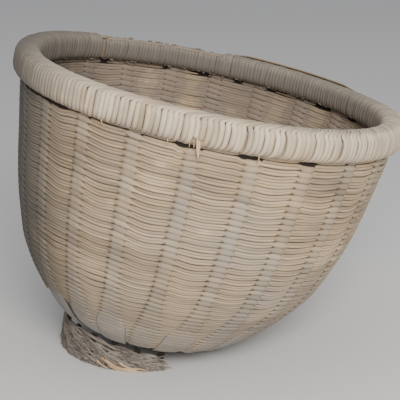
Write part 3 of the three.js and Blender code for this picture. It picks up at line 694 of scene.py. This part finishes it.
# broken ends of wrapping under the front of the rim
def sliver(pts, w, t, tone=0.6, seed=0, nrm=None):
    """A torn strip through basket-mm points, tapering to its tip."""
    P = np.array(pts, float)
    n = 14
    x = np.linspace(0, len(P) - 1, n)
    C = np.stack([np.interp(x, np.arange(len(P)), P[:, k]) for k in range(3)], -1)
    C[1:-1] = 0.25 * C[:-2] + 0.5 * C[1:-1] + 0.25 * C[2:]
    T = np.gradient(C, axis=0); T /= np.linalg.norm(T, axis=1)[:, None]
    N = np.tile(nrm, (n, 1)).astype(float); N -= T * (N * T).sum(1)[:, None]; N /= np.linalg.norm(N, axis=1)[:, None]
    S = np.cross(T, N)
    f = np.linspace(1, 0, n) ** 0.6; f = 0.12 + 0.88 * f
    psi = np.arange(6) * math.pi / 3
    R = C[:, None] + S[:, None] * ((w / 2 * f)[:, None] * np.cos(psi))[..., None] + N[:, None] * ((t / 2 * f)[:, None] * np.sin(psi))[..., None]
    at = np.zeros((n, 6, 4)); at[..., 0] = tone; at[..., 1] = 0.1
    ly = np.zeros((n, 6, 3)); ly[..., 0] = np.linspace(0, 25, n)[:, None]; ly[..., 1] = psi[None]; ly[..., 2] = seed * 3.1
    return R, at, ly


def rimpt(phi, r, z):
    a = math.radians(phi); return np.array([r * math.cos(a), r * math.sin(a), z])


ends = []
for (p0, lean_, w, r0, z0, z1, tn) in ((269.6, 0.9, 5.4, 199.3, -17, -39.5, 0.8), (270.6, -0.4, 3.0, 199.4, -17, -33, 0.6), (268.4, 0.5, 3.2, 199.4, -13, -31, 0.45), (267.5, 0.2, 2.0, 199.6, -17, -31, 0.7),
                                     (285.6, 0.3, 1.5, 197.6, -27, -36, 0.6), (262.0, 0.4, 1.3, 197.6, -27, -34, 0.6), (243.5, 0.5, 1.2, 197.6, -27, -34, 0.7)):
    n_ = np.array([math.cos(math.radians(p0)), math.sin(math.radians(p0)), 0])
    zs = np.linspace(z0, z1, 5); rs = [r0, r0 - 0.2 - 0.8 * (z0 > -25) * 0, r0 - 1.6, r0 - 3.4, r0 - 4.6]
    ends.append(sliver([rimpt(p0 + lean_ * x, r_, z_) for x, r_, z_ in zip((0, 0.1, 0.3, 0.6, 1.0), rs, zs)], w, 1.1, tn, p0, n_))
place(loft("torn_wrapping", [e[0] for e in ends], M_TORN, [e[1] for e in ends], [e[2] for e in ends]), "torn_cane", "broken_wrapping_end")

# ------------------------------------------------------------------------ foot
bx, by = sag(np.array(BASE_Z))
FOOT_R, FOOT_T, FOOT_TAPER = 90.0, 5.0, 3.0


def footpt(phi, z, off):
    """phi deg, basket z, distance out from the middle of the foot's thickness."""
    a = np.radians(phi)
    r = FOOT_R - FOOT_T / 2 - FOOT_TAPER * (-272.5 - z) / 57.5 + off
    return np.stack([bx + r * np.cos(a), by + r * np.sin(a), z + 0 * a], -1)


def floor_z(phi, r=86.0):
    """Basket z where the floor is, under the foot at that angle."""
    a = np.radians(phi)
    x, y = bx + r * np.cos(a), by + r * np.sin(a)
    return (CENTRE[2] - UP[0] * x - UP[1] * y) / UP[2]


tubes, attrs, lays = [], [], []
psi = np.arange(8) * math.pi / 4
rowz = np.arange(-279.0, -322.0, -4.9)
for ri, z0 in enumerate(rowz):
    a0 = 166 + rng.uniform(-3, 4); a1 = 288 - 1.2 * ri + rng.uniform(-10, 2)
    ph = np.arange(a0, a1, 1.3)
    fz = floor_z(ph) + 2.2 + 1.6 * np.sin(np.radians(ph * 11 + 30)) + 1.4 * smooth(ph, 255, 285)
    for which in (0, 1):
        q = (ph - STAKE_PHI) / SPACING; th = math.pi * q + math.pi * which
        z = z0 - 1.2 * np.sin(th) + rng.normal(0, 0.35) + 0.9 * np.sin(np.radians(ph * 5 + ri * 40)) + 0.5 * np.sin(np.radians(ph * 17 + ri * 70))
        for run in np.split(np.where(z > fz)[0], np.where(np.diff(np.where(z > fz)[0]) != 1)[0] + 1):
            if len(run) < 6:
                continue
            p, zz, tt = ph[run], z[run], th[run]
            off = 1.15 * np.cos(tt) + 0.35 * np.sin(np.radians(p * 13 + ri * 50))
            C = footpt(p, zz, off); a = np.radians(p)
            N = np.stack([np.cos(a), np.sin(a), 0 * a], -1); D = np.tile([0, 0, 1.0], (len(p), 1))
            taper = np.minimum(1, (np.minimum(np.arange(len(p)), np.arange(len(p))[::-1]) + 0.5) / 3.0)
            A_, B_ = 1.62 * taper * (1 + rng.normal(0, 0.12)), 1.05 * taper
            R = C[:, None] + N[:, None] * (B_[:, None] * np.cos(psi))[..., None] + D[:, None] * (A_[:, None] * np.sin(psi))[..., None]
            tubes.append(R)
            # painted shade: G darker at the top and bottom of each strand, between the rows
            at = np.zeros((len(p), 8, 4)); at[..., 0] = np.clip(rng.normal(0.5, 0.16) + 0.22 * np.sin(np.radians(p * 8 + ri * 90)), 0, 1)[:, None]; at[..., 1] = (1 - np.abs(np.cos(psi)))[None]
            at[..., 2] = 0.3; at[..., 3] = (np.cos(psi) < -0.3)[None] * 1.0
            attrs.append(at)
            ly = np.zeros((len(p), 8, 3)); ly[..., 0] = (p * 1.5)[:, None]; ly[..., 1] = psi[None] * 1.3; ly[..., 2] = ri * 2.0 + which
            lays.append(ly)
place(loft("foot_twining", tubes, M_FOOT, attrs, lays), "foot_strands", "foot_weave")

# painted shade: the foot stakes are near-black so the gap between foot and wall reads as shadow
for i, jj in enumerate(range(-6, 2)):
    p = STAKE_PHI + jj * SPACING
    z1 = max(float(floor_z(np.array(p))) + rng.uniform(1.5, 6), -325)
    z = np.linspace(-274.5, z1, 12)
    C = footpt(np.full(12, p), z, -1.3)
    a = math.radians(p); N = np.tile([math.cos(a), math.sin(a), 0], (12, 1)); S = np.tile([-math.sin(a), math.cos(a), 0], (12, 1))
    w = np.full(12, 7.0); w[-1] = 4.0; w[-2] = 6.0
    R = ribbon(C, S, N, w, np.full(12, 1.3))
    at, ly = ribbon_attr(12, rng.uniform(0.1, 0.3), 0.3, 0, 40, 70 + i); at[..., 1] = 0.9
    place(loft(f"foot_stick_{i + 1}", [R], M_PAINTED_SHADE, [at], [ly]), "splints", f"foot_stake_{i + 1}")

# matted and frayed fibres over the worn foot
def foot_fibre(p, z, L, slope, w, t, o0, o1, tone, seed):
    """A loose fibre on the foot: starts at (p, z), runs L mm round to the right, sloping."""
    n = 5
    x = np.linspace(0, 1, n)
    pp = p + np.degrees(L * np.cos(slope) * x / FOOT_R)
    zz = z + L * np.sin(slope) * x + 0.10 * L * math.sin(seed * 1.7) * np.sin(math.pi * x)
    zz = np.maximum(zz, floor_z(pp) + 0.6)
    oo = o0 + (o1 - o0) * x ** 1.5
    pts = [footpt(np.array(a_), np.array(z_), np.array(o_)) for a_, z_, o_ in zip(pp, zz, oo)]
    a = math.radians(p)
    return sliver(pts, w, t, tone, seed, [math.cos(a), math.sin(a), 0.1])


fr = []
for i in range(330):                               # matted on the face
    p = rng.uniform(168, 283); fz = float(floor_z(np.array(p)))
    z0 = rng.uniform(max(fz, -316) + 3, -279)
    fr.append(foot_fibre(p, z0, rng.uniform(6, 20), rng.normal(-0.12, 0.35), rng.uniform(1.0, 2.6), rng.uniform(0.4, 0.8), rng.uniform(1.4, 2.1), rng.uniform(1.7, 2.4), 0.5 + 0.30 * math.sin(p * 0.21 + z0 * 0.33) + rng.uniform(-0.18, 0.18), i))
for i in range(190):                               # hanging from the bottom edge
    p = 170 + (284 - 170) * rng.uniform() ** 0.8; fz = float(floor_z(np.array(p)))
    z0 = fz + rng.uniform(3, 9)
    fr.append(foot_fibre(p, z0, rng.uniform(5, 13), rng.uniform(-1.5, -0.35), rng.uniform(0.6, 1.9), rng.uniform(0.4, 0.9), rng.uniform(-1.5, 2.0), rng.uniform(1.0, 4.5), rng.uniform(0.2, 0.85), 400 + i))
for i in range(70):                                # streaming off the right-hand end
    p = rng.uniform(268, 284); fz = float(floor_z(np.array(p)))
    z0 = rng.uniform(fz + 2, fz + 15)
    fr.append(foot_fibre(p, z0, rng.uniform(8, 20), rng.uniform(-0.45, 0.12), rng.uniform(0.7, 2.3), rng.uniform(0.4, 0.9), rng.uniform(-1.5, 2.0), rng.uniform(0.0, 3.5), rng.uniform(0.3, 1.0), 700 + i))
place(loft("foot_fibres", [f[0] for f in fr], M_FOOT, [f[1] for f in fr], [f[2] for f in fr]), "foot_strands")

# torn cane strips along the foot's bottom edge
st = []
for i, (a0, L, dz, sl, w, tn) in enumerate(((249, 27, 9.0, -0.20, 3.4, 0.6), (252, 31, 6.5, -0.14, 4.0, 0.85), (256, 27, 3.6, -0.05, 3.4, 0.65), (262, 22, 2.0, 0.0, 3.0, 0.95),
                                         (246, 18, 11.5, -0.25, 2.4, 0.45), (259, 19, 8.8, -0.10, 2.2, 0.95), (253, 15, 3.2, -0.05, 2.2, 0.4), (269, 16, 3.6, 0.02, 2.4, 0.55), (243, 16, 7.0, -0.2, 2.2, 0.7))):
    z0 = float(floor_z(np.array(float(a0)))) + dz
    st.append(foot_fibre(float(a0), z0, L, sl, w, 1.1, 3.0, 4.2, tn, 900 + i))
place(loft("foot_torn_strip", [x[0] for x in st], M_TORN, [x[1] for x in st], [x[2] for x in st]), "torn_cane", "foot_edge_strip")

# ------------------------------------------------------- floor, lights, camera
def plane(name, size, loc, mat):
    me = bpy.data.meshes.new(name)
    h = size / 2
    me.from_pydata([(-h, -h, 0), (h, -h, 0), (h, h, 0), (-h, h, 0)], [], [(0, 1, 2, 3)])
    ob = bpy.data.objects.new(name, me); ob.location = loc
    bpy.context.scene.collection.objects.link(ob); me.materials.append(mat)
    return ob


mf, nt, bs = tree("floor_pale")
bs.inputs["Base Color"].default_value = (0.66, 0.655, 0.645, 1)
bs.inputs["Roughness"].default_value = 0.85
bs.inputs["Specular IOR Level"].default_value = 0.2
plane("floor", 14.0, (0, 0, 0), mf)

w = bpy.data.worlds.new("studio"); bpy.context.scene.world = w; w.use_nodes = True
w.node_tree.nodes["Background"].inputs[0].default_value = (0.93, 0.95, 1.0, 1)
w.node_tree.nodes["Background"].inputs[1].default_value = 0.5


def area(name, loc, target, size, power, color=(1, 1, 1)):
    L = bpy.data.lights.new(name, "AREA"); L.shape = "DISK"; L.size = size; L.energy = power; L.color = color
    o = bpy.data.objects.new(name, L); bpy.context.scene.collection.objects.link(o)
    d = Vector(target) - Vector(loc)
    o.matrix_world = Matrix.Translation(Vector(loc)) @ d.to_track_quat("-Z", "Y").to_matrix().to_4x4()
    return o


area("key", (0.22, -1.45, 1.0), (0, 0, 0.16), 0.75, 31.5, (1.0, 0.965, 0.92))
area("fill", (1.3, -1.0, 1.2), (0, 0, 0.15), 1.4, 6, (0.97, 0.98, 1.0))
area("top", (0.1, 0.2, 2.0), (0, 0, 0.2), 1.6, 5, (1.0, 0.98, 0.95))

CAM = np.array([0.0, -1180.53608, 203.87061])
FW = np.array([0.01051163, 0.96215971, -0.27228331]); CR = np.array([0.9783742, 0.04635703, 0.20158111]); CU = np.array([-0.20657547, 0.26851392, 0.94086495])
F_PX = 1175.6005
cam = bpy.data.cameras.new("camera"); cam.sensor_fit = "HORIZONTAL"; cam.sensor_width = 36.0; cam.lens = F_PX / 400.0 * 36.0
cam.clip_start = 0.05; cam.clip_end = 50
co = bpy.data.objects.new("camera", cam); bpy.context.scene.collection.objects.link(co)
r_, u_, f_ = world_dir(CR), world_dir(CU), world_dir(FW)
p_ = world(CAM)
co.matrix_world = Matrix(((r_[0], u_[0], -f_[0], p_[0]), (r_[1], u_[1], -f_[1], p_[1]), (r_[2], u_[2], -f_[2], p_[2]), (0, 0, 0, 1)))
bpy.context.scene.camera = co
